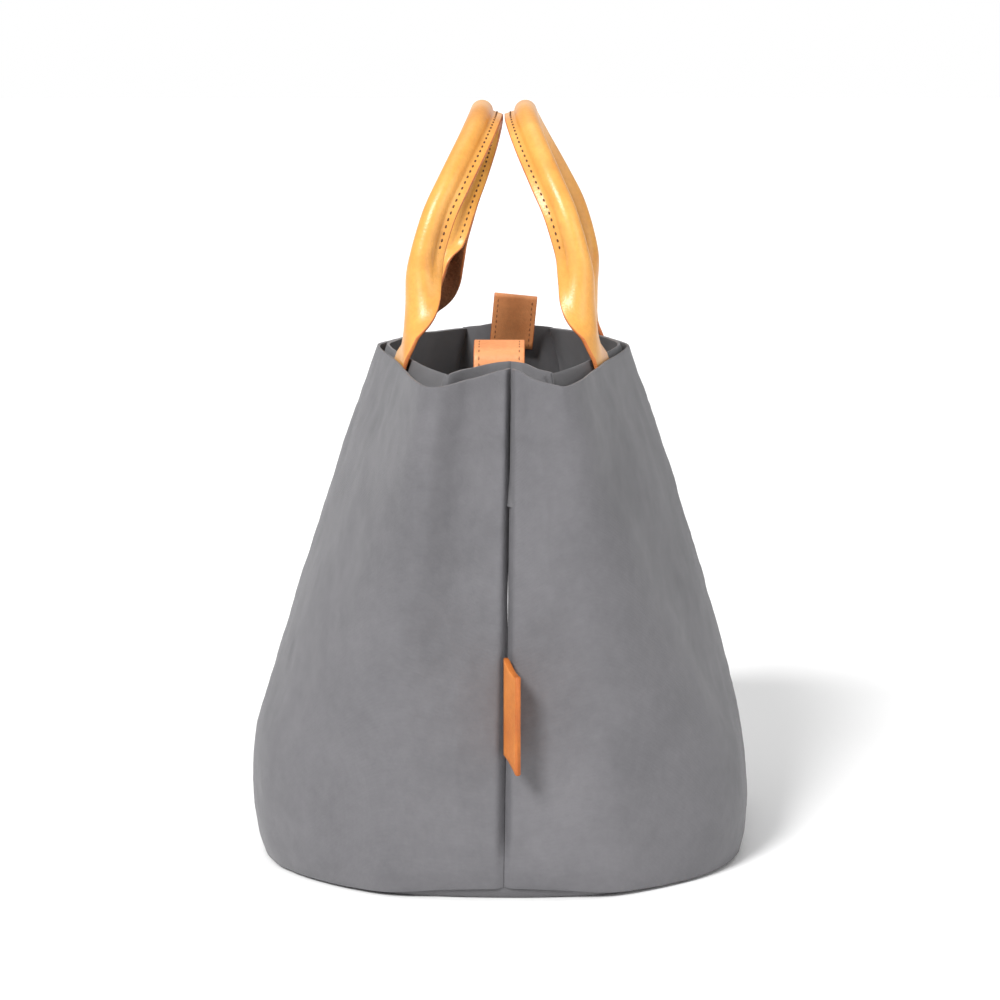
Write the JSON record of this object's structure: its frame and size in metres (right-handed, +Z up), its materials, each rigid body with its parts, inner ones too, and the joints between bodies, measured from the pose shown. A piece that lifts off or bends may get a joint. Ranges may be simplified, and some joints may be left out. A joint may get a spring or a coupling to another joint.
{
  "type": "tote bag",
  "caption": "Soft tote bag of crinkled fabric that stands on a flat base, with rolled leather handles, leather end tabs and a leather tag in the end seam.",
  "frame": {"origin": "middle of the flat underside of the base, on the surface that the bag stands on", "axes": "+Z up, X across the bag between its two sides, Y along the bag from the near end seam at -Y to the far end seam at +Y"},
  "size_m": [0.2638, 0.3527, 0.393],
  "materials": {
    "body_fabric": "crinkled matt woven cloth, mid grey",
    "facing_fabric": "crinkled matt woven cloth, mid grey",
    "base_fabric": "crinkled matt woven cloth, mid grey",
    "handle_leather": "smooth waxed honey leather with cut edges",
    "tab_leather": "smooth tan leather with cut edges",
    "tag_leather": "smooth orange-brown leather with cut edges"
  },
  "bodies": {
    "root": {"left_body_panel": "body_fabric", "right_body_panel": "body_fabric", "left_facing": "facing_fabric", "right_facing": "facing_fabric", "base_panel": "base_fabric", "left_handle": "handle_leather", "right_handle": "handle_leather", "near_tab": "tab_leather", "far_tab": "tab_leather", "seam_tag": "tag_leather"}
  },
  "joints": []
}
